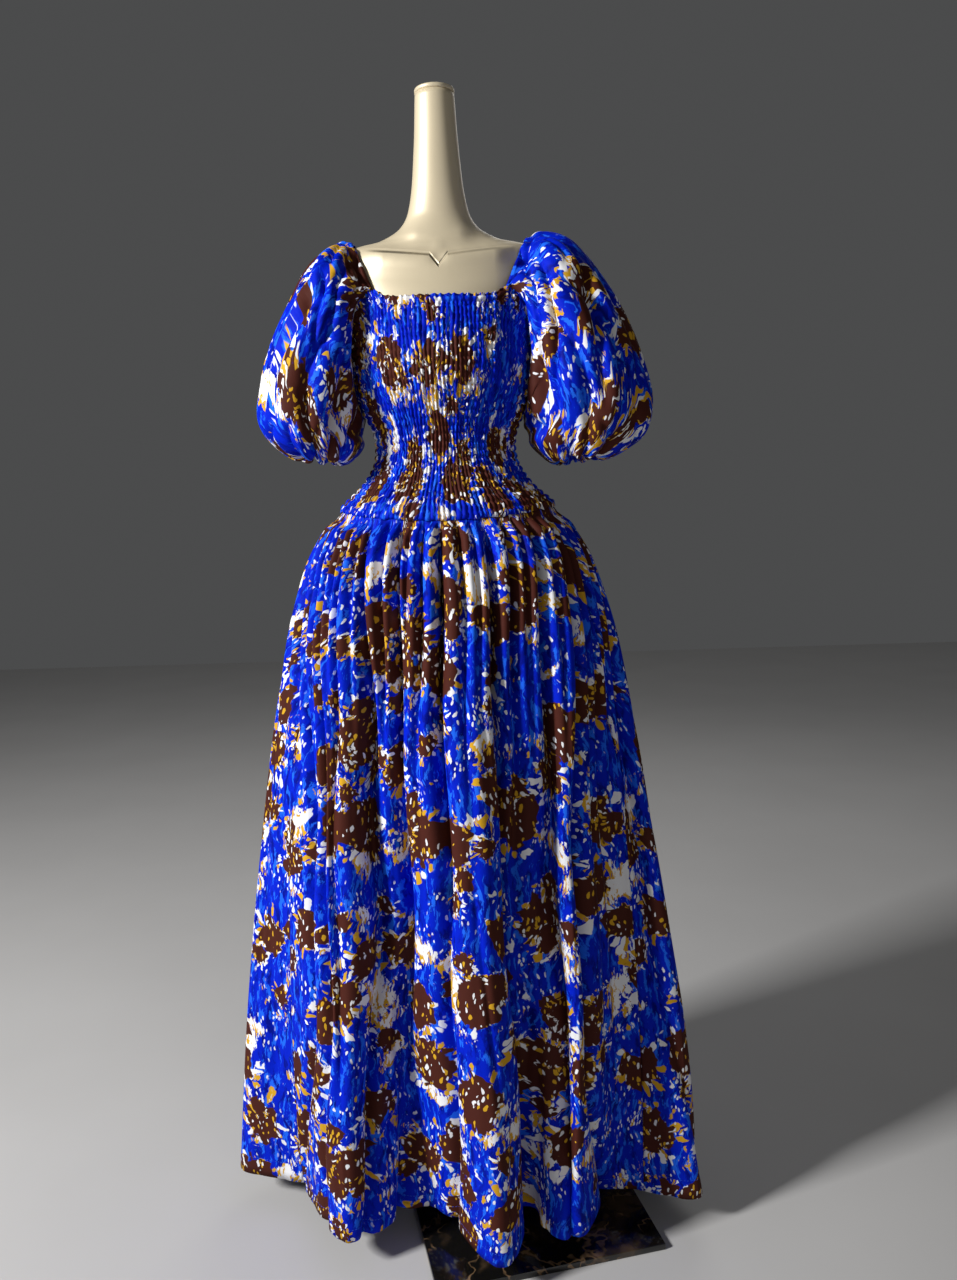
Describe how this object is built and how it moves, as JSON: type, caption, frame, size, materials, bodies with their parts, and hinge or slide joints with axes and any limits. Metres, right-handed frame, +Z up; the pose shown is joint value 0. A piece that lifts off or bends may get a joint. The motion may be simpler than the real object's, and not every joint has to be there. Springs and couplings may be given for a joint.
{
  "type": "maxi dress on a dress form",
  "caption": "Maxi dress with a shirred bodice, puff sleeves and a full gathered skirt, on a limbless dress form with a tall neck, a pole and a square stone base",
  "frame": {"origin": "on the floor, on the underside of the base and straight under the axis of the form's neck", "axes": "+Z up along the form, +X to the right as seen from the front, -Y the front"},
  "size_m": [0.73, 0.4287, 1.6823],
  "materials": {
    "print_cloth": "soft woven cloth with an all-over painterly floral print in royal blue, brown, ochre and white",
    "form_skin": "champagne-gold satin lacquer on moulded plastic",
    "pole_steel": "brushed steel tube",
    "base_stone": "polished black marble with brown veins"
  },
  "bodies": {
    "root": {"bodice_front": "print_cloth", "bodice_back": "print_cloth", "sleeve_right": "print_cloth", "sleeve_left": "print_cloth", "skirt_front": "print_cloth", "skirt_back": "print_cloth", "form_body": "form_skin", "form_neck_cap": "form_skin", "form_pole": "pole_steel", "form_base": "base_stone"}
  },
  "joints": []
}
